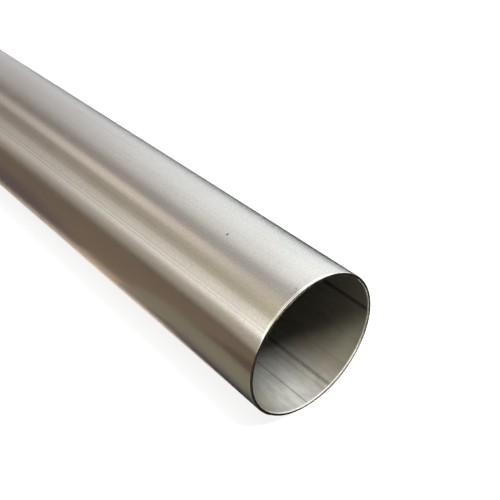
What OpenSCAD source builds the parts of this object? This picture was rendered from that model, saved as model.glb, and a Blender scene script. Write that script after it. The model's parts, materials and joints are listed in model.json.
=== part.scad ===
// Length of round stainless steel tube, rolled from strip and welded along one seam.
// The outside is planished and polished flush. Inside, a low weld bead runs the whole length.
// Both ends are sawn square, and the saw's burr is broken off outside and inside.
// The tube lies on a level floor along X. The origin is on the floor, under its middle.

/* [Tube] */
// Outside diameter, 3 inches
tube_d = 76.2; // [50:0.1:150]
// Thickness of the wall, 16 gauge
wall_t = 1.6; // [1:0.1:3]
// Length as sold
tube_l = 1000; // [300:10:6000]

/* [Weld seam] */
// Place of the seam round the tube, in degrees from its top towards +Y
seam_angle = 87; // [-180:1:180]
// Width of the bead where it meets the bore
bead_w = 2.4; // [1.5:0.1:3]
// Height of the bead's crown above the bore
bead_h = 0.2; // [0.1:0.05:0.3]

/* [Sawn ends] */
// Width of the broken edge outside
outer_edge = 0.5; // [0.1:0.05:0.5]
// Width of the broken edge inside
inner_edge = 0.3; // [0.1:0.05:0.4]

/* [Hidden] */
outer_r = tube_d / 2;
inner_r = outer_r - wall_t;
// How far the crown stands above the straight line between the bead's two feet
bead_rise = bead_h - inner_r + sqrt(inner_r * inner_r - bead_w * bead_w / 4);
// Radius of the bead's round crown
bead_r = (bead_w * bead_w / 4 + bead_rise * bead_rise) / (2 * bead_rise);
// How far a cutting shape runs past what it cuts
overrun = 1;
$fn = 180;

// Solid bar of the outside diameter, its two end edges broken at 45 degrees
module outer_bar() {
    rotate_extrude()
        polygon([
            [0, 0],
            [outer_r - outer_edge, 0],
            [outer_r, outer_edge],
            [outer_r, tube_l - outer_edge],
            [outer_r - outer_edge, tube_l],
            [0, tube_l]
        ]);
}

// Round bar as long as the tube, running past both of its ends
module long_bar(radius) {
    translate([0, 0, -overrun])
        cylinder(h = tube_l + 2 * overrun, r = radius);
}

// Space inside the tube: the bore, less the bead that stands in it
module bore_space() {
    difference() {
        long_bar(inner_r);
        rotate([0, 0, 180 - seam_angle])
            translate([inner_r - bead_h + bead_r, 0, 0])
                long_bar(bead_r);
    }
}

// Cone at 45 degrees that breaks the bore's edge, and the end of the bead, at z = 0
module inner_edge_cut() {
    cut_h = inner_edge + bead_h + 2 * overrun;
    translate([0, 0, -overrun])
        cylinder(
            h = cut_h,
            r1 = inner_r + inner_edge + overrun,
            r2 = inner_r - bead_h - overrun
        );
}

// The tube, from its end at -X to its end at +X, at rest on the floor
module tube() {
    color([0.75, 0.74, 0.72])
        translate([-tube_l / 2, 0, outer_r])
            rotate([0, 90, 0])
                difference() {
                    outer_bar();
                    bore_space();
                    inner_edge_cut();
                    translate([0, 0, tube_l])
                        mirror([0, 0, 1])
                            inner_edge_cut();
                }
}

tube();
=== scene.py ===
# %% [markdown]
# # A length of stainless steel tube
# One piece of round, thin-walled tube lies on a pale floor. It was rolled from strip, welded
# along one seam, polished outside with a belt and sawn to length. There is no fabric, no
# fastener and no second part, so the whole lesson is about one turned shape, the finishes
# that its making left on one steel, and the light that shows them.
# The construction comes packed in a frame. The script loads it, reads every size from it and
# then models the visible tube inside the same box.

# %% Load the frame
import json
import math

import bmesh
import bpy
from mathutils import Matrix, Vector


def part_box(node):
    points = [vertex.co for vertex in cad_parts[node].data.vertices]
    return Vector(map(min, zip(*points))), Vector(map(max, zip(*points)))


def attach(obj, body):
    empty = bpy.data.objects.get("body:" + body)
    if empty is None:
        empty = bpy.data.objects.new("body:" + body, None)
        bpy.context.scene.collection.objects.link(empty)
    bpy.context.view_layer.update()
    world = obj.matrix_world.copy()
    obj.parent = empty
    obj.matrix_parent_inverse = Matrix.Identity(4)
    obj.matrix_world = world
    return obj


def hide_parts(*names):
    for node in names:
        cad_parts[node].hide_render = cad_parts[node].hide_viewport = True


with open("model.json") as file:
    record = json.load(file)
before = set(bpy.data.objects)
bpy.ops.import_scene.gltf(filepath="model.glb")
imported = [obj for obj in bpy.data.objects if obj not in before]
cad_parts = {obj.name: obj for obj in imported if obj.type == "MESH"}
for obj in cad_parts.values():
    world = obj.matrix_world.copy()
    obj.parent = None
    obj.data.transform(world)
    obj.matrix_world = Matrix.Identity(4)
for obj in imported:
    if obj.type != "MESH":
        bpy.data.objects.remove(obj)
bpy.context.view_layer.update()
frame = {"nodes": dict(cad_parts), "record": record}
print("the frame's nodes:", sorted(frame["nodes"]))

# %% [markdown]
# A tube is told by two radii and a length. The record's mounts hold them: the outside is a
# mount for clamps, and the bore is a mount for plugs. A mount's wall stops where the broken
# edge at the tube's end begins, so the edges' widths follow from the same numbers.
# The weld bead inside is no mount, so its size is given here again, in metres.

# %% Sizes
MM = 0.001
low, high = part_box("tube")
mounts = {mount["name"]: mount["dims"] for mount in frame["record"]["mounts"]}
length = high.x - low.x
axis_z = (low.z + high.z) / 2
outer_r = mounts["outside"]["r_mm"] * MM
inner_r = mounts["bore_plus_x"]["r_mm"] * MM
outer_edge = (length - mounts["outside"]["length_mm"] * MM) / 2
inner_edge = (length - mounts["bore_plus_x"]["length_mm"] * MM) / 2
bead_width = 2.4 * MM
bead_height = 0.2 * MM
seam_angle = math.radians(87)
seam_out = Vector((0, math.sin(seam_angle), math.cos(seam_angle)))
print(f"outside {outer_r * 2:.4f} m, wall {outer_r - inner_r:.4f} m, length {length:.3f} m")
print(f"broken edges {outer_edge / MM:.2f} mm outside, {inner_edge / MM:.2f} mm inside")

# %% [markdown]
# The camera looks at the sawn end from above and from the side, close enough that the other
# end is out of the picture. Its place is counted in tube radii from the middle of the near
# end, so that it would follow a thicker or a thinner tube.

# %% Camera
VIEW_AZIMUTH = math.radians(49.81)
VIEW_ELEVATION = math.radians(35.36)
LENS = 56.93
SENSOR_WIDTH = 36
CAMERA_STAND = Vector((4.92, -5.16, 6.45))
near_end = Vector((high.x, 0, axis_z))
camera_data = bpy.data.cameras.new("camera")
camera_data.sensor_width = SENSOR_WIDTH
camera_data.lens = LENS
camera = bpy.data.objects.new("camera", camera_data)
bpy.context.scene.collection.objects.link(camera)
backwards = Vector((
    math.sin(VIEW_AZIMUTH) * math.cos(VIEW_ELEVATION),
    -math.cos(VIEW_AZIMUTH) * math.cos(VIEW_ELEVATION),
    math.sin(VIEW_ELEVATION),
))
camera.location = near_end + CAMERA_STAND * outer_r
camera.rotation_euler = (-backwards).to_track_quat("-Z", "Y").to_euler()
bpy.context.scene.camera = camera
print("camera at", tuple(round(x, 3) for x in camera.location))

# %% [markdown]
# In edit mode an operator works on what is selected, so each step needs its own choice of
# vertices, edges or faces. A choice by place, made in code, is the same on every run.
# The helpers below open a piece for editing and choose what lies where a test says yes.

# %% Helpers for edit mode
def edit(piece, mode):
    """Opens a piece in edit mode, alone, with nothing selected. mode is VERT, EDGE or FACE."""
    if bpy.context.mode != "OBJECT":
        bpy.ops.object.mode_set(mode="OBJECT")
    bpy.ops.object.select_all(action="DESELECT")
    bpy.context.view_layer.objects.active = piece
    piece.select_set(True)
    bpy.ops.object.mode_set(mode="EDIT")
    bpy.ops.mesh.select_mode(type=mode)
    bpy.ops.mesh.select_all(action="DESELECT")


def choose(piece, test):
    """Selects each vertex, edge or face whose vertices all pass the test, and counts them."""
    mesh = bmesh.from_edit_mesh(piece.data)
    kind = next(iter(mesh.select_mode))
    parts = {"VERT": mesh.verts, "EDGE": mesh.edges, "FACE": mesh.faces}[kind]
    chosen = 0
    for part in parts:
        corners = [part] if kind == "VERT" else part.verts
        if all(test(corner.co) for corner in corners):
            part.select_set(True)
            chosen += 1
    mesh.select_flush_mode()
    bmesh.update_edit_mesh(piece.data)
    return chosen


def radius_at(point):
    """Distance of a point from the tube's axis."""
    return math.hypot(point.y, point.z - axis_z)


def from_seam(point):
    """Distance of a point from the line of the weld, measured round the bore."""
    arm = Vector((0, point.y, point.z - axis_z))
    return arm.angle(seam_out) * inner_r


top_point = Vector((0, 0, high.z))
print(f"the top line is {radius_at(top_point):.4f} m from the axis")
print(f"and {from_seam(top_point) / MM:.0f} mm from the weld, measured round the bore")

# %% [markdown]
# The tube is drawn as its maker draws it: a closed outline, pulled along its axis. A circle
# of one vertex per degree is fine enough for a smooth rim. The weld bead is narrow, so the
# circle's edges near the seam are split further before anything is extruded.
# The circle is pulled in steps, which leaves rings along the tube, so no face is a sliver.

# %% Outside of the tube
SEGMENTS = 360
RINGS = 50
SEAM_CUTS = 3
bpy.ops.object.select_all(action="DESELECT")
bpy.ops.mesh.primitive_circle_add(
    vertices=SEGMENTS, radius=outer_r, location=near_end, rotation=(0, math.pi / 2, 0)
)
tube = bpy.context.object
tube.name = "steel_tube"
bpy.ops.object.transform_apply(location=True, rotation=True, scale=True)

edit(tube, "EDGE")
split = choose(tube, lambda point: from_seam(point) < bead_width)
bpy.ops.mesh.subdivide(number_cuts=SEAM_CUTS)
bpy.ops.mesh.select_all(action="SELECT")
for _ in range(RINGS):
    bpy.ops.mesh.extrude_edges_move(
        TRANSFORM_OT_translate={"value": (-length / RINGS, 0, 0)}
    )
bpy.ops.mesh.select_all(action="SELECT")
bpy.ops.mesh.normals_make_consistent(inside=False)
bpy.ops.object.mode_set(mode="OBJECT")
print(f"outside: {len(tube.data.polygons)} faces, {split} edges split at the seam")

# %% [markdown]
# The wall is the same everywhere, which is just what the Solidify modifier makes. Its offset
# of -1 keeps the outside where it is and puts the bore one wall further in. Its rim closes
# the two sawn ends.

# %% Wall
tube_wall = tube.modifiers.new("wall", "SOLIDIFY")
tube_wall.thickness = outer_r - inner_r
tube_wall.offset = -1
tube_wall.use_even_offset = True
tube_wall.use_rim = True
bpy.ops.object.modifier_apply(modifier=tube_wall.name)
print(f"with its wall: {len(tube.data.polygons)} faces")

# %% [markdown]
# A saw leaves a burr on both edges of the cut, and a brush wheel takes it off. What is left is
# a rounding a few tenths of a millimetre wide. It looks like nothing, but it is what draws
# the bright and the dark line round the mouth, so it is real geometry.
# The outside edges are worn a little more than the inside ones, because the wheel reaches
# them better. Four segments are enough to catch the light as one round edge.

# %% Broken edges
EDGE_SEGMENTS = 4
TINY = 0.01 * MM


def at_an_end(point):
    """True for a point in the plane of either sawn end."""
    return min(abs(point.x - low.x), abs(point.x - high.x)) < TINY


def is_inside(point):
    """True for a point nearer to the bore than to the outside."""
    return radius_at(point) < (inner_r + outer_r) / 2


for inside, width in ((False, outer_edge), (True, inner_edge)):
    edit(tube, "EDGE")
    broken = choose(tube, lambda point: at_an_end(point) and is_inside(point) == inside)
    bpy.ops.mesh.bevel(offset=width, segments=EDGE_SEGMENTS, affect="EDGES")
    bpy.ops.object.mode_set(mode="OBJECT")
    print(f"{'inner' if inside else 'outer'} edges broken: {broken} at {width / MM:.1f} mm")

# %% [markdown]
# The weld runs along the bore as a low round bead. By hand it is pulled up with proportional
# editing: only the line in its middle is moved, and a sphere falloff as wide as half the
# bead lifts its neighbours into a round crown. The outside lies further away than that, so
# it stays as it is, which is true to a seam that was polished flush.

# %% Weld bead
edit(tube, "VERT")
crown = choose(tube, lambda point: is_inside(point) and from_seam(point) < TINY)
bpy.ops.transform.translate(
    value=-seam_out * bead_height,
    use_proportional_edit=True,
    proportional_edit_falloff="SPHERE",
    proportional_size=bead_width / 2,
)
bpy.ops.object.mode_set(mode="OBJECT")
heights = [inner_r - radius_at(v.co) for v in tube.data.vertices if is_inside(v.co)]
print(f"weld bead: {crown} vertices along its crown, {max(heights) / MM:.2f} mm high")

# %% [markdown]
# Smooth shading hides the facets of the turned faces and of the rounded edges. The angle
# limit is above the 22.5 degrees between two segments of a rounded edge, and it still leaves
# the feet of the bead crisp.

# %% Shading
SMOOTH_ANGLE = math.radians(26)
bpy.ops.object.shade_smooth_by_angle(angle=SMOOTH_ANGLE)
print(f"smooth up to {math.degrees(SMOOTH_ANGLE):.0f} degrees")

# %% [markdown]
# Every finish is a small network of nodes. One helper adds a node with its settings and its
# inputs, and another turns an sRGB hex colour into the linear numbers that shaders work in.
# Steel gets its look less from its colour than from how rough it is in each direction and
# from small marks, so most nodes below make noise and marks.

# %% Helpers for nodes
def colour(code):
    """An sRGB hex colour such as "c8c4bd" as a linear colour with alpha."""
    parts = [int(code[i:i + 2], 16) / 255 for i in (0, 2, 4)]
    return [p / 12.92 if p <= 0.04045 else ((p + 0.055) / 1.055) ** 2.4 for p in parts] + [1]


def node(tree, kind, inputs=None, **settings):
    """Adds a node. inputs maps a socket's name or number to a value or to a socket to link."""
    made = tree.nodes.new(kind)
    for name, value in settings.items():
        setattr(made, name, value)
    for name, value in (inputs or {}).items():
        if isinstance(value, bpy.types.NodeSocket):
            tree.links.new(value, made.inputs[name])
        else:
            made.inputs[name].default_value = value
    return made


def new_material(name):
    """A material with an empty tree, and its output node."""
    material = bpy.data.materials.new(name)
    material.use_nodes = True
    material.node_tree.nodes.clear()
    return material, material.node_tree, node(material.node_tree, "ShaderNodeOutputMaterial")


print("half grey in linear numbers:", [round(part, 3) for part in colour("808080")])

# %% [markdown]
# What happened to the steel follows the tube: belt lines run round it, draw lines run along
# it. So a finish needs to know how far along and how far round a point lies. Both come from
# Object coordinates with a little trigonometry, and nothing has to be unwrapped.
# Grain is noise with a size in millimetres for each direction. A short size along the tube
# and a long one across it gives lines round the tube, and the other way about gives lines
# along it. A Mapping node stretches the coordinates by those sizes.

# %% Helpers for places and grain
DEGREE = math.pi / 180
FROM_TOP = 1
FROM_BOTTOM = -1
FINE_SHARE = 0.6


def surface_map(tree, zero):
    """Sockets for a point's coordinates, its place along the tube and its angle round it.

    The angle is 0 at the top where zero is FROM_TOP, or at the bottom where it is
    FROM_BOTTOM, and it grows towards the side that the camera stands on.
    """
    place = node(tree, "ShaderNodeTexCoord").outputs["Object"]
    apart = node(tree, "ShaderNodeSeparateXYZ", {0: place})
    up = node(tree, "ShaderNodeMath", {0: apart.outputs["Z"], 1: axis_z}, operation="SUBTRACT")
    rise = node(tree, "ShaderNodeMath", {0: up.outputs[0], 1: zero}, operation="MULTIPLY")
    side = node(tree, "ShaderNodeMath", {0: apart.outputs["Y"], 1: -1}, operation="MULTIPLY")
    turn = node(tree, "ShaderNodeMath", {0: side.outputs[0], 1: rise.outputs[0]},
                operation="ARCTAN2")
    return place, apart.outputs["X"], turn.outputs[0]


def grain(tree, place, size, detail, least=0.35, most=0.65):
    """Noise whose spots are size millimetres big along X, Y and Z, spread out from 0 to 1.

    Plain noise stays close to its middle, so the part of it from least to most is stretched.
    """
    stretched = node(tree, "ShaderNodeMapping", {
        "Vector": place, "Scale": [1 / (step * MM) for step in size]})
    noise = node(tree, "ShaderNodeTexNoise", {
        "Vector": stretched.outputs[0], "Scale": 1, "Detail": detail, "Roughness": FINE_SHARE})
    return node(tree, "ShaderNodeMapRange", {
        "Value": noise.outputs["Fac"], "From Min": least, "From Max": most}).outputs[0]


print(f"one degree is {DEGREE * outer_r / MM:.2f} mm round the outside")

# %% [markdown]
# A mark is a soft-edged spot in that flat map, with a middle and a width each way. A line
# along the whole tube is a mark that has only a middle and a width round the tube. Marks are
# painted over the finish one after another, as stains are in life.
# The Mix node has an A and a B for every kind of data. Numbers 6 and 7 are those for colours.

# %% Helpers for marks
def near_value(tree, socket, middle, full, none):
    """1 where a socket is nearer to middle than full, down to 0 where it is past none."""
    off = node(tree, "ShaderNodeMath", {0: socket, 1: middle}, operation="SUBTRACT")
    far = node(tree, "ShaderNodeMath", {0: off.outputs[0]}, operation="ABSOLUTE")
    return node(tree, "ShaderNodeMapRange", {
        "Value": far.outputs[0], "From Min": full, "From Max": none, "To Min": 1, "To Max": 0,
    }, interpolation_type="SMOOTHSTEP").outputs[0]


def paint(tree, under, code, share, strength):
    """Lays a colour over another one, as thickly as a socket and a strength say."""
    amount = node(tree, "ShaderNodeMath", {0: share, 1: strength}, operation="MULTIPLY")
    mixed = node(tree, "ShaderNodeMix", {
        "Factor": amount.outputs[0], 6: under, 7: colour(code)}, data_type="RGBA")
    return mixed.outputs[2]


# %% [markdown]
# ## Belt polished stainless steel
# The outside is 304 stainless, polished by a belt that ran round the tube while it passed
# through. A 240 grit belt leaves scratches a few hundredths of a millimetre apart and some
# 20 mm long. The eye sees them as a satin sheen that is blurred one way more than the other:
# that is the shader's anisotropy, with its tangent round the X axis. Single scratches and
# pits are too fine to show, so strokes and specks are drawn 0.7 mm wide, and shallow.
# Under the satin lie faint draw lines from the rolls, long and 1.4 mm apart, and handling
# has left the tone a little uneven from hand to hand, every 50 mm or so.
# A metal keeps the default IOR, and its colour is that of bare stainless, a warm light grey.

# %% Outside finish
STROKES = (0.7, 17, 17)
DRAW_LINES = (200, 1.4, 1.4)
HANDLING = (55, 25, 25)
SPECKS = (0.7, 0.7, 0.7)
DRAW_LINE_STRENGTH = 0.2
SPECK_STRENGTH = 0.35
satin, tree, output = new_material("belt_polished_stainless")
place, along, turn = surface_map(tree, FROM_TOP)
strokes = grain(tree, place, STROKES, 4, 0.3, 0.7)
skin = paint(tree, colour("cecbc6"), "d3d0ca", grain(tree, place, HANDLING, 3), 1)
skin = paint(tree, skin, "bcb9b3", grain(tree, place, DRAW_LINES, 3), DRAW_LINE_STRENGTH)
skin = paint(tree, skin, "b0ada7", grain(tree, place, SPECKS, 2, 0.4, 0.6), SPECK_STRENGTH)
print("outside finish: strokes", STROKES[0], "mm apart, draw lines", DRAW_LINES[1], "mm apart")

# %% [markdown]
# A few lines from the rolls are deep enough to be seen one by one. Each is a fraction of a
# degree wide and runs the whole length. A nick and a scuff of two spots are from handling: the
# scuff sits right at the mouth, where a tube is knocked first. Each spot has an angle from
# the top, a distance from the mouth and a length in mm, a width in degrees and a strength.
# On the upper side towards the camera a bright ring about a millimetre wide is painted on the
# outside at each end: a painted highlight of the rounded edge. Where a value has a middle,
# a full and a faded width, as that highlight's band has, the three stand together in that order.

# %% Marks outside
ROLL_LINES = ((48.5, 0.25), (51, 0.3), (41, 0.12), (33, 0.1), (-11, 0.1), (6, 0.08))
LINE_CORE = 0.1 * DEGREE
LINE_FADE = 0.5 * DEGREE
for angle, strength in ROLL_LINES:
    line = near_value(tree, turn, angle * DEGREE, LINE_CORE, LINE_FADE)
    skin = paint(tree, skin, "8c8780", line, strength)

NICKS = ((10.7, 53.3, 0.8, 1.6, 1), (15.2, 2.9, 0.9, 1.1, 0.35), (17.4, 2.2, 1.1, 0.9, 0.3))
SPOT_CORE = 0.1
for angle, inwards, long, wide, strength in NICKS:
    round_it = near_value(tree, turn, angle * DEGREE, SPOT_CORE * DEGREE, wide * DEGREE)
    along_it = near_value(tree, along, high.x - inwards * MM, SPOT_CORE * MM, long * MM)
    nick = node(tree, "ShaderNodeMath", {0: round_it, 1: along_it}, operation="MULTIPLY")
    skin = paint(tree, skin, "3c3a36", nick.outputs[0], strength)

# Painted highlight: a bright ring at each end, only on the upper side towards the camera.
HIGHLIGHT_SIDE = (22, 10, 45)
HIGHLIGHT_RING_CORE = 0.9 * MM
HIGHLIGHT_RING_FADE = 1.6 * MM
painted_highlight_side = near_value(tree, turn, *(angle * DEGREE for angle in HIGHLIGHT_SIDE))
for end in (low.x, high.x):
    painted_rim_highlight = near_value(tree, along, end, HIGHLIGHT_RING_CORE, HIGHLIGHT_RING_FADE)
    skin = paint(tree, skin, "fbfaf7", painted_rim_highlight, painted_highlight_side)
print(f"outside marks: {len(ROLL_LINES)} roll lines, {len(NICKS)} spots, a bright ring per end")

# %% Outside shader
STROKE_DEPTH = 0.01 * MM
STROKE_STRENGTH = 0.1
SHEEN_BOUNDS = (0.2, 0.27)
relief = node(tree, "ShaderNodeBump", {
    "Height": strokes, "Strength": STROKE_STRENGTH, "Distance": STROKE_DEPTH})
roughness = node(tree, "ShaderNodeMapRange", {
    "Value": strokes, "To Min": SHEEN_BOUNDS[0], "To Max": SHEEN_BOUNDS[1]})
tangent = node(tree, "ShaderNodeTangent", direction_type="RADIAL", axis="X")
steel = node(tree, "ShaderNodeBsdfPrincipled", {
    "Base Color": skin, "Metallic": 1, "Roughness": roughness.outputs[0],
    "Anisotropic": 0.8, "Anisotropic Rotation": 0.25,
    "Tangent": tangent.outputs[0], "Normal": relief.outputs[0],
})
tree.links.new(steel.outputs[0], output.inputs["Surface"])
print("outside roughness", SHEEN_BOUNDS)

# %% [markdown]
# ## Mill finish
# The bore is the strip as the rolling mill and the pickling bath left it: dull and grey,
# because the pickled skin scatters light instead of reflecting it. A half metallic shader
# with a high roughness gives that. The skin is streaked along the strip, about 1.7 mm apart,
# and stained in spots of 4 to 7 mm.
# Next to the weld the heat has left a brown tint. It is spread wide as painted shade over that
# side wall, and the other side wall gets painted shade as well, so that only the bottom stays
# light.

# %% Bore finish
STREAKS = (40, 1.7, 1.7)
STAINS = (7, 4, 4)
WELD = -93
HEAT_AND_SHADE = (WELD, 50, 98)
SIDE_SHADE = (80, 26, 74)
STREAK_STRENGTH = 0.17
HEAT_AND_SHADE_STRENGTH = 0.8
SIDE_SHADE_STRENGTH = 0.78
mill, tree, output = new_material("mill_finish_stainless")
place, along, turn = surface_map(tree, FROM_BOTTOM)
streaks = grain(tree, place, STREAKS, 4, 0.45, 0.7)
stains = grain(tree, place, STAINS, 5)
skin = paint(tree, colour("9a9993"), "adada8", stains, 1)
skin = paint(tree, skin, "6f6e64", streaks, STREAK_STRENGTH)
# Heat tint at the weld, spread wide as painted shade over that side wall of the bore.
heat_and_shade = near_value(tree, turn, *(angle * DEGREE for angle in HEAT_AND_SHADE))
skin = paint(tree, skin, "655d4a", heat_and_shade, HEAT_AND_SHADE_STRENGTH)
# Painted shade: the other side wall of the bore darkened, leaving the bottom light.
side_shade = near_value(tree, turn, *(angle * DEGREE for angle in SIDE_SHADE))
skin = paint(tree, skin, "5f5745", side_shade, SIDE_SHADE_STRENGTH)
print(f"bore finish: streaks {STREAKS[1]} mm apart, heat tint at {WELD} degrees from the bottom")

# %% [markdown]
# The draw lines in the bore are stains and not steps, so they are painted. Each has an angle
# from the bottom, a full and a faded width in degrees, a strength and a colour. Fine noise
# breaks them up, as rust-brown dust sits in a line unevenly.
# The three at the weld are the dark oxide in the two feet of the bead and beside it.
# The burr brush reaches a millimetre into the bore, and that ring is painted bright as the lip's
# highlight.

# %% Marks in the bore
BREAKS = (1.1, 1.1, 1.1)
THINNEST = 0.55
ragged = node(tree, "ShaderNodeMapRange", {
    "Value": grain(tree, place, BREAKS, 2, 0.3, 0.55), "To Min": THINNEST, "To Max": 1})
BORE_LINES = (
    (2, 0.25, 0.8, 0.75, "5e5e54"),
    (-22, 0.6, 2.2, 0.7, "504c42"),
    (-16, 0.5, 2.0, 0.25, "5e5e54"),
    (-28.5, 0.2, 1.2, 0.15, "5e5e54"),
    (-41, 0.2, 0.8, 0.3, "4e4e45"),
    (-62, 0.2, 0.8, 0.3, "4e4e45"),
    (WELD + 1.2, 0.4, 0.9, 0.9, "1e1c17"),
    (WELD - 1.2, 0.4, 0.9, 0.9, "1e1c17"),
    (WELD, 1.0, 2.2, 0.7, "2a2822"),
)
for angle, full, none, strength, code in BORE_LINES:
    line = near_value(tree, turn, angle * DEGREE, full * DEGREE, none * DEGREE)
    broken = node(tree, "ShaderNodeMath", {0: line, 1: ragged.outputs[0]}, operation="MULTIPLY")
    skin = paint(tree, skin, code, broken.outputs[0], strength)

# Painted highlight: a bright ring on the brushed lip just inside each mouth.
LIP_HIGHLIGHT_CORE = 0.5 * MM
LIP_HIGHLIGHT_FADE = 1.1 * MM
for end in (low.x, high.x):
    brushed_lip_highlight = near_value(tree, along, end, LIP_HIGHLIGHT_CORE, LIP_HIGHLIGHT_FADE)
    skin = paint(tree, skin, "dcdad4", brushed_lip_highlight, 1)
print(f"bore marks: {len(BORE_LINES)} lines and a brushed ring at each end")

# %% Bore shader
STREAK_DEPTH = 0.04 * MM
STREAK_RELIEF = 0.3
DULL_BOUNDS = (0.42, 0.55)
HALF_METAL = 0.5
relief = node(tree, "ShaderNodeBump", {
    "Height": streaks, "Strength": STREAK_RELIEF, "Distance": STREAK_DEPTH})
roughness = node(tree, "ShaderNodeMapRange", {
    "Value": stains, "To Min": DULL_BOUNDS[0], "To Max": DULL_BOUNDS[1]})
steel = node(tree, "ShaderNodeBsdfPrincipled", {
    "Base Color": skin, "Metallic": HALF_METAL, "Roughness": roughness.outputs[0],
    "Normal": relief.outputs[0],
})
tree.links.new(steel.outputs[0], output.inputs["Surface"])
print("bore roughness", DULL_BOUNDS)

# %% [markdown]
# ## Sawn steel
# The flat ring at each end is cut by a cold saw. Its teeth leave parallel lines across the
# whole end, less than a millimetre apart, that catch the light unevenly. The ring is only a
# few tenths of a millimetre wide, so the lines show as a slight flicker along it.

# %% Sawn finish
SAW_LINES = (3.3, 4, 0.7)
SAW_DEPTH = 0.02 * MM
SAW_RELIEF = 0.3
SAWN_BOUNDS = (0.28, 0.16)
sawn, tree, output = new_material("sawn_stainless")
place = node(tree, "ShaderNodeTexCoord").outputs["Object"]
saw = grain(tree, place, SAW_LINES, 3)
skin = paint(tree, colour("7c7871"), "a8a49c", saw, 1)
relief = node(tree, "ShaderNodeBump", {
    "Height": saw, "Strength": SAW_RELIEF, "Distance": SAW_DEPTH})
roughness = node(tree, "ShaderNodeMapRange", {
    "Value": saw, "To Min": SAWN_BOUNDS[0], "To Max": SAWN_BOUNDS[1]})
steel = node(tree, "ShaderNodeBsdfPrincipled", {
    "Base Color": skin, "Metallic": 1, "Roughness": roughness.outputs[0],
    "Normal": relief.outputs[0],
})
tree.links.new(steel.outputs[0], output.inputs["Surface"])
print("sawn finish: lines", SAW_LINES[2], "mm apart")

# %% [markdown]
# ## Brushed edge
# The rounded edges are the brightest steel on the tube, because the brush wheel burnishes
# them as it rounds them. They are nearly white and smooth, with a little wear every few
# millimetres that keeps the bright line from looking drawn.

# %% Brushed finish
WEAR = (3.3, 3.3, 3.3)
BRIGHT_BOUNDS = (0.1, 0.18)
brushed, tree, output = new_material("brush_deburred_stainless")
place = node(tree, "ShaderNodeTexCoord").outputs["Object"]
wear = grain(tree, place, WEAR, 3, 0.4, 0.7)
skin = paint(tree, colour("e2dfda"), "c4c0b9", wear, 1)
roughness = node(tree, "ShaderNodeMapRange", {
    "Value": wear, "To Min": BRIGHT_BOUNDS[0], "To Max": BRIGHT_BOUNDS[1]})
steel = node(tree, "ShaderNodeBsdfPrincipled", {
    "Base Color": skin, "Metallic": 1, "Roughness": roughness.outputs[0],
})
tree.links.new(steel.outputs[0], output.inputs["Surface"])
print("brushed finish: wear every", WEAR[0], "mm")

# %% [markdown]
# Each face takes the finish of the tool that made it last. The rule needs only a face's
# middle and its normal: flat at an end is sawn, a slanting face at an end is brushed, and of
# the rest the bore keeps its mill finish and the outside is satin.

# %% Finishes on the faces
FLAT = 0.999
SLANTING = 0.1
finishes = {"satin": satin, "mill": mill, "sawn": sawn, "brushed": brushed}
for finish in finishes.values():
    tube.data.materials.append(finish)
numbers = {name: number for number, name in enumerate(finishes)}
counts = dict.fromkeys(finishes, 0)
for face in tube.data.polygons:
    tilt = abs(face.normal.x)
    if tilt > FLAT:
        name = "sawn"
    elif tilt > SLANTING:
        name = "brushed"
    else:
        name = "mill" if is_inside(face.center) else "satin"
    face.material_index = numbers[name]
    counts[name] += 1
print("faces by finish:", counts)

# %% [markdown]
# The frame has one body, since nothing on a tube moves. The modelled tube rides on it, stands
# for the construction's tube and takes the place of its plain steel.

# %% Place in the frame
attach(tube, "root")
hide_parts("tube")
print("steel_tube rides on root and replaces the node tube")

# %% [markdown]
# ## The studio
# The tube lies on a white table that is lit from below, as for pictures of small goods, so its
# shadow stays pale. A wall of the same white, which only the camera sees, closes the view.
# The table sends no light back into the bore: its visibility to diffuse rays is off.

# %% Table
TABLE_SIZE = 30
TABLE_GLOW = 0.93
bpy.ops.object.select_all(action="DESELECT")
bpy.ops.mesh.primitive_plane_add(size=TABLE_SIZE)
floor = bpy.context.object
floor.name = "floor"
paper, tree, output = new_material("backlit_white_acrylic")
matte = node(tree, "ShaderNodeBsdfPrincipled", {
    "Base Color": colour("6a6a6a"), "Roughness": 1, "Specular IOR Level": 0,
    "Emission Color": colour("f4f4f4"), "Emission Strength": TABLE_GLOW})
tree.links.new(matte.outputs[0], output.inputs["Surface"])
floor.data.materials.append(paper)
floor.visible_diffuse = False
print("table", TABLE_SIZE, "m wide, glow", TABLE_GLOW)

# %% Wall behind the table
WALL_RADIUS = 14
WALL_GLOW = 0.98
bpy.ops.object.select_all(action="DESELECT")
bpy.ops.mesh.primitive_uv_sphere_add(radius=WALL_RADIUS)
wall = bpy.context.object
wall.name = "wall"
white, tree, output = new_material("white_wall")
shine = node(tree, "ShaderNodeEmission", {"Color": colour("f4f4f4"), "Strength": WALL_GLOW})
tree.links.new(shine.outputs[0], output.inputs["Surface"])
wall.data.materials.append(white)
wall.visible_diffuse = False
wall.visible_glossy = False
wall.visible_shadow = False
print("wall at", WALL_RADIUS, "m, glow", WALL_GLOW)

# %% [markdown]
# Polished steel has hardly a look of its own: it shows what stands around it. So the shape of
# the tube is drawn, as in a metal workshop's catalogue, with cards and a tent that only the
# steel's reflections see.
# A card is a plane on the table whose four corners are moved to the places listed. It
# gets a dull dye, and its own light where the lamps alone would leave it too dark.

# %% Helpers for cards
R = outer_r


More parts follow.
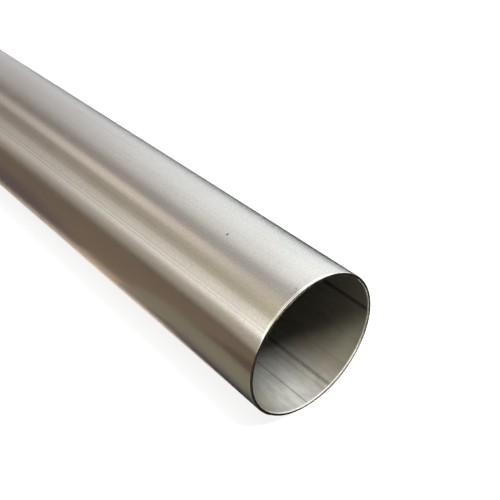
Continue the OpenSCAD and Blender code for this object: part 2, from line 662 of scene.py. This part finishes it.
def card(name, corners, code, lift, own_light=0):
    """A sheet of coloured card on the table, which only the steel's reflections see."""
    bpy.ops.object.select_all(action="DESELECT")
    bpy.ops.mesh.primitive_plane_add(size=1)
    sheet = bpy.context.object
    sheet.name = name
    for corner, (x, y) in zip(sheet.data.vertices, corners):
        corner.co = (x, y, lift * MM)
    dyed, tree, output = new_material(name)
    matte = node(tree, "ShaderNodeBsdfPrincipled", {
        "Base Color": colour(code), "Roughness": 1, "Specular IOR Level": 0,
        "Emission Color": colour(code), "Emission Strength": own_light})
    tree.links.new(matte.outputs[0], output.inputs["Surface"])
    sheet.data.materials.append(dyed)
    sheet.visible_camera = False
    sheet.visible_diffuse = False
    sheet.visible_shadow = False
    sheet.visible_transmission = False


def oblong(x_from, x_to, y_from, y_to):
    """Corners in the order that a new plane's vertices have."""
    return ((x_from, y_from), (x_to, y_from), (x_from, y_to), (x_to, y_to))


def back(radii):
    """A place so many tube radii behind the near end."""
    return high.x - radii * R


print(f"one radius is {R / MM:.1f} mm")

# %% [markdown]
# The lower half of the tube mirrors what lies beside it. Dark cards further off make the deep
# brown band, a bright one close to the tube makes the thin light line under it, and the dark
# one before the mouth makes the rim's flat ring a dark line between its bright edges.
# The cards on the far side of the tube are grey, and they make the cool upper outline.
# Places are counted in tube radii from the near end and from the axis. A card that has to
# fade out along the tube is cut to a taper. Each card lies a little higher than those that
# it covers. A row gives a name, the corners, a colour, that lift in mm and the card's own light.

# %% Cards beside the tube
FAR = -6
FRONT = 4
WIDE = 80 * R
slate = ((back(3.6), -1.2 * R), (back(0), -1.3 * R), (back(3.6), -1.1 * R), (back(0), -0.62 * R))
dusk_end = ((back(8), -2.4 * R), (back(4.8), -1.4 * R), (back(8), -1.06 * R), (back(4.8), -1.2 * R))
fade = ((back(24), -0.98 * R), (back(4), -0.98 * R), (back(9), -0.4 * R), (back(6.5), -0.6 * R))
CARDS = (
    ("brown_card", oblong(FAR, FRONT, -WIDE, -1.15 * R), "463c33", 0.2, 0),
    ("olive_card", oblong(back(3.5), back(0), -2.6 * R, -1.3 * R), "4b473d", 0.3, 0),
    ("umber_card", oblong(back(2.5), FRONT, -5 * R, -2.7 * R), "352c25", 0.3, 0),
    ("dusk_card", oblong(FAR, back(8), -2.4 * R, -1.06 * R), "362f2f", 0.35, 0),
    ("dusk_end_card", dusk_end, "362f2f", 0.35, 0),
    ("slate_card", slate, "403e3e", 0.4, 0),
    ("front_card", oblong(back(0), FRONT, -WIDE, WIDE), "1c1b19", 0.4, 0),
    ("apron_card", oblong(back(-0.58), back(-1.23), 0.79 * R, 1.36 * R), "b4aea4", 0.6, 0),
    ("shade_card", oblong(back(0.8), back(0), 0.2 * R, 3 * R), "1c1b19", 0.5, 0),
    ("sand_card", oblong(back(8), back(2.4), -1.28 * R, -0.95 * R), "75675a", 0.3, 0.05),
    ("glow_card", oblong(FAR, back(0), -0.95 * R, 0.5 * R), "d8c8b6", 0.2, 0.42),
    ("gleam_card", oblong(FAR, back(0), -0.72 * R, 0.5 * R), "fdf6ee", 0.25, 1),
    ("fade_card", fade, "c4b8aa", 0.32, 0.45),
    ("haze_card", oblong(FAR, FRONT, 0.5 * R, 3 * R), "8b9093", 0.2, 0),
    ("grey_card", oblong(back(19), FRONT, 3 * R, 8 * R), "1e2124", 0.3, 0),
    ("ink_card", oblong(back(6), FRONT, 2 * R, 8 * R), "121314", 0.4, 0),
    ("mist_card", oblong(FAR, FRONT, 3 * R, WIDE), "848889", 0.2, 0),
    ("dawn_card", oblong(back(26), back(18.6), 5 * R, 10 * R), "a8a6a6", 0.35, 0),
)
for name, corners, code, lift, own_light in CARDS:
    card(name, corners, code, lift, own_light)
print(len(CARDS), "cards")

# %% [markdown]
# The upper half of the tube mirrors the sky, and here the sky is a tent: a half cylinder over
# the tube, cut at the table. Its cloth glows in long panels, so the tube shows long bands.
# Near the mouth the panels are bright and neutral, and far back they are dim and brown. Each
# set is a row of colours by angle, from the far side over the top to the camera's side, and
# a Color Ramp node blends them as soft cloth does.
# A warm gap between two cloths makes the narrow bright band in the tube's back half. In front
# of the mouth the tent is pale all round, which the rim's rounded edge shows as a white line.

# %% Tent
TENT_RADIUS = 2
TENT_LENGTH = 11
TENT_MIDDLE = -2
TENT_PANELS = 96
ABOVE_TABLE = 2 * MM
bpy.ops.object.select_all(action="DESELECT")
bpy.ops.mesh.primitive_cylinder_add(
    vertices=TENT_PANELS, radius=TENT_RADIUS, depth=TENT_LENGTH, end_fill_type="NGON",
    location=(TENT_MIDDLE, 0, axis_z), rotation=(0, math.pi / 2, 0),
)
tent = bpy.context.object
tent.name = "light_tent"
bpy.ops.object.transform_apply(location=True, rotation=True, scale=True)
edit(tent, "VERT")
bpy.ops.mesh.select_all(action="SELECT")
bpy.ops.mesh.bisect(plane_co=(0, 0, ABOVE_TABLE), plane_no=(0, 0, 1), clear_inner=True)
bpy.ops.object.mode_set(mode="OBJECT")
print(f"tent: radius {TENT_RADIUS} m, {len(tent.data.polygons)} panels of cloth")

# %% Helper and colours for the cloth
NEAR_PANELS = (
    (-90, "c6cbcd"), (-72, "d8dddf"), (-50, "e2e6e8"), (-32, "d8dbdc"), (-18, "cfd0ce"),
    (-12, "c2c1bd"), (-5, "a3a1a0"), (3, "9b9897"), (11, "9f9b95"), (18, "aaa398"),
    (28, "b2aa9b"), (36, "a19a88"), (42, "a8a290"), (48, "cdc9be"), (58, "d4d1ca"),
    (63, "e8e6e0"), (69, "e8e7e2"), (73, "aaa59a"), (78, "938d80"), (90, "8f877a"),
)
FAR_PANELS = (
    (-90, "a4a4ac"), (-70, "979497"), (-50, "8f8a8b"), (-30, "898382"), (-18, "7b7371"),
    (-12, "6c6361"), (-5, "645b58"), (4, "665d5a"), (10, "807575"), (16, "857d7b"),
    (24, "645e5e"), (34, "605958"), (42, "746b69"), (50, "857c77"), (62, "857d77"),
    (74, "8f8680"), (80, "928985"), (86, "7e7571"), (90, "70686a"),
)


def sewn_cloth(tree, turn, panels):
    """The colour of a cloth sewn from panels, each at its angle from the top in degrees."""
    share = node(tree, "ShaderNodeMapRange", {
        "Value": turn, "From Min": -math.pi / 2, "From Max": math.pi / 2})
    ramp = node(tree, "ShaderNodeValToRGB", {"Fac": share.outputs[0]})
    stops = ramp.color_ramp.elements
    while len(stops) > 1:
        stops.remove(stops[-1])
    for number, (angle, code) in enumerate(panels):
        at = (angle + 90) / 180
        stop = stops.new(at) if number else stops[0]
        stop.position = at
        stop.color = colour(code)
    return ramp.outputs[0]


print("colours of cloth:", len(NEAR_PANELS), "near and", len(FAR_PANELS), "far")

# %% Cloth of the tent
TENT_STRENGTH = 2
NEAR_UNTIL = -0.7
FAR_FROM = -2.65
PALE_FROM = 0.9
PALE_FULL = 1.6
PALE_SHARE = 0.8
GAP_ROUND = (16, 3, 11)
GAP_ALONG = (-1.85, 0.2, 0.85)
cloth, tree, output = new_material("tent_cloth")
place, along, turn = surface_map(tree, FROM_TOP)
depth = node(tree, "ShaderNodeMapRange", {
    "Value": along, "From Min": NEAR_UNTIL, "From Max": FAR_FROM})
panels = node(tree, "ShaderNodeMix", {
    "Factor": depth.outputs[0],
    6: sewn_cloth(tree, turn, NEAR_PANELS),
    7: sewn_cloth(tree, turn, FAR_PANELS),
}, data_type="RGBA")
gap = node(tree, "ShaderNodeMath", {
    0: near_value(tree, turn, *(angle * DEGREE for angle in GAP_ROUND)),
    1: near_value(tree, along, *GAP_ALONG),
}, operation="MULTIPLY")
hue = paint(tree, panels.outputs[2], "d2c9bd", gap.outputs[0], 1)
before = node(tree, "ShaderNodeMapRange", {
    "Value": along, "From Min": PALE_FROM, "From Max": PALE_FULL})
hue = paint(tree, hue, "dcdbd8", before.outputs[0], PALE_SHARE)
glow = node(tree, "ShaderNodeEmission", {"Color": hue, "Strength": TENT_STRENGTH})
tree.links.new(glow.outputs[0], output.inputs["Surface"])
tent.data.materials.append(cloth)
tent.visible_camera = False
tent.visible_diffuse = False
tent.visible_shadow = False
print("tent strength", TENT_STRENGTH)

# %% [markdown]
# Two soft lamps light what isn't a mirror. A large one overhead lights the table. A smaller
# one stands in front of the mouth and above it, so its light falls into the bore: bright on
# the bottom close to the mouth, and gone one radius in. Both are hidden from reflections,
# because the tent stands for them there.

# %% Lamps
LAMPS = (
    ("overhead", (1.3, 1.4), 45, (-0.12, 0, 1.35)),
    ("mouth_light", (0.5, 0.3), 50, (0.93, 0.02, 1.2)),
)
for name, (size_x, size_y), power, stand in LAMPS:
    lamp_data = bpy.data.lights.new(name, "AREA")
    lamp_data.shape = "RECTANGLE"
    lamp_data.size = size_x
    lamp_data.size_y = size_y
    lamp_data.energy = power
    lamp = bpy.data.objects.new(name, lamp_data)
    lamp.location = stand
    lamp.visible_glossy = False
    bpy.context.scene.collection.objects.link(lamp)
    print(f"lamp {name}: {power} W")

# %% [markdown]
# The world adds a breath of light from all round. The Standard view transform shows the
# colours as they are given, which suits a plain white table.

# %% World
WORLD_STRENGTH = 0.3
world = bpy.data.worlds.new("studio")
bpy.context.scene.world = world
world.use_nodes = True
sky = world.node_tree.nodes["Background"]
sky.inputs["Color"].default_value = colour("f4f4f4")
sky.inputs["Strength"].default_value = WORLD_STRENGTH
bpy.context.scene.view_settings.view_transform = "Standard"
print("world strength", WORLD_STRENGTH)
